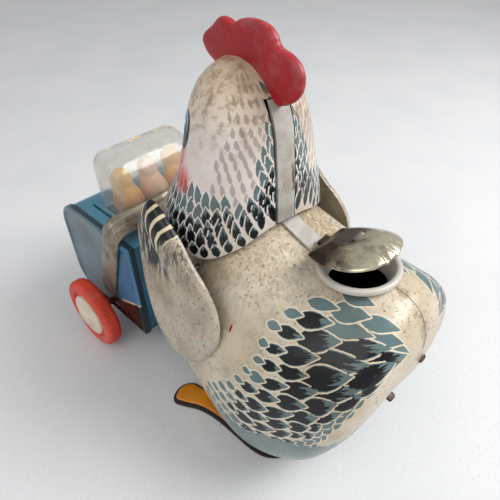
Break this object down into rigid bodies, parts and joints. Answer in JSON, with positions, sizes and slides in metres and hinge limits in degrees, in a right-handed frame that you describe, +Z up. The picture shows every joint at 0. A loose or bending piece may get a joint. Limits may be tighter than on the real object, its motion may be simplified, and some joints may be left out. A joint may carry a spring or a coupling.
{
  "type": "wind-up tin toy",
  "caption": "Clockwork tin hen with nodding head, swinging wings and a hinged lid on her back, pushing a two-wheeled cart that carries chicks under a clear dome.",
  "frame": {"origin": "centre of the bounding box, at the level of the floor the feet and wheels stand on", "axes": "-Y is the way the hen faces, towards the cart; +X is her left; +Z is up"},
  "size_m": [0.124, 0.2184, 0.2004],
  "materials": {
    "litho_cream": "lithographed tin, glossy, rubbed",
    "litho_head": "lithographed tin, glossy, stained",
    "grey_tin": "plain grey tin, semi-gloss",
    "litho_wing": "lithographed tin, glossy, rubbed",
    "litho_blue": "lithographed tin, glossy",
    "litho_side": "lithographed tin, satin",
    "litho_dark_blue": "lithographed tin, glossy",
    "litho_green": "lithographed tin",
    "foot_orange": "painted tin, glossy",
    "foot_black": "painted tin, satin",
    "red_plastic": "moulded, glossy",
    "yellow_plastic": "moulded, glossy",
    "white_plastic": "moulded, slightly translucent",
    "clear_plastic": "clear, scuffed",
    "chick_yellow": "soft moulded",
    "chick_peach": "soft moulded",
    "wheel_plastic": "moulded, ribbed tread",
    "hub_plastic": "moulded",
    "plated": "plated tin, tarnished",
    "steel": "bare steel",
    "axle_red": "dark red rod",
    "brass": "bare brass",
    "spring_steel": "blued",
    "rubber": "matt"
  },
  "bodies": {
    "body": {"body_shell_left": "litho_cream", "body_shell_right": "litho_cream", "back_strip": "grey_tin", "opening_ring": "white_plastic", "lid_hinge": "plated", "hoop": "plated", "seam_lug_upper": "plated", "seam_lug_lower": "plated", "head_yoke": "steel", "head_pivot_pin": "steel", "wing_pin_left": "steel", "wing_pin_right": "steel", "base_plate": "steel", "spacer_front": "steel", "spacer_top": "steel", "spacer_rear": "steel", "tow_bar": "steel", "foot_base_left": "foot_black", "foot_base_right": "foot_black", "foot_left": "foot_orange", "foot_right": "foot_orange", "motor_frame_left": "brass", "motor_frame_right": "brass", "mainspring": "spring_steel", "cart_side_left": "litho_side", "cart_side_right": "litho_side", "cart_shell": "litho_blue", "cart_rear_panel": "litho_dark_blue", "chick_tray": "litho_green", "dome": "clear_plastic", "chick_1": "chick_yellow", "chick_3": "chick_yellow", "chick_2": "chick_peach"},
    "head": {"head_shell_left": "litho_head", "head_shell_right": "litho_head", "neck_strip": "grey_tin", "comb": "red_plastic", "beak": "yellow_plastic", "wattle": "red_plastic", "head_post": "steel"},
    "lid": {"lid": "plated"},
    "wing_left": {"wing_left": "litho_wing"},
    "wing_right": {"wing_right": "litho_wing"},
    "key": {"arbor": "steel", "winding_key": "steel"},
    "main_wheel": {"main_gear": "brass"},
    "middle_wheel": {"middle_shaft": "steel", "middle_pinion": "brass", "middle_gear": "brass"},
    "drive": {"drive_axle": "steel", "drive_pinion": "brass", "drive_wheel_left": "rubber", "drive_wheel_right": "rubber"},
    "cart_wheels": {"cart_axle": "axle_red", "cart_wheel_left": "wheel_plastic", "cart_wheel_right": "wheel_plastic", "wheel_hub_left": "hub_plastic", "wheel_hub_right": "hub_plastic"}
  },
  "joints": [
    {"name": "head_nod", "type": "hinge", "parent": "body", "child": "head", "pos_m": [0, 0.008, 0.112], "axis": [1, 0, 0], "range_deg": [-3, 4], "stiffness_Nm_per_rad": 0.5},
    {"name": "lid_hinge", "type": "hinge", "parent": "body", "child": "lid", "pos_m": [0, 0.0546, 0.1206], "axis": [1, 0, 0], "range_deg": [-14, 60]},
    {"name": "wing_left_swing", "type": "hinge", "parent": "body", "child": "wing_left", "pos_m": [0.046, 0.0133, 0.104], "axis": [1, 0, 0], "range_deg": [-5, 5]},
    {"name": "wing_right_swing", "type": "hinge", "parent": "body", "child": "wing_right", "pos_m": [-0.046, 0.0133, 0.104], "axis": [1, 0, 0], "range_deg": [-5, 5]},
    {"name": "key_wind", "type": "hinge", "parent": "body", "child": "key", "pos_m": [0, 0.012, 0.034], "axis": [1, 0, 0], "continuous": true},
    {"name": "drive_spin", "type": "hinge", "parent": "body", "child": "drive", "pos_m": [0, 0.048, 0.0115], "axis": [1, 0, 0], "continuous": true},
    {"name": "middle_spin", "type": "hinge", "parent": "body", "child": "middle_wheel", "pos_m": [0, 0.03134, 0.02663], "axis": [1, 0, 0], "continuous": true},
    {"name": "main_spin", "type": "hinge", "parent": "body", "child": "main_wheel", "pos_m": [0, 0.012, 0.034], "axis": [1, 0, 0], "continuous": true},
    {"name": "cart_roll", "type": "hinge", "parent": "body", "child": "cart_wheels", "pos_m": [0, -0.073, 0.0234], "axis": [1, 0, 0], "continuous": true}
  ],
  "couplings": [
    {"joint": "middle_spin", "follows": "drive_spin", "ratio": -0.47059},
    {"joint": "main_spin", "follows": "drive_spin", "ratio": 0.13072}
  ]
}
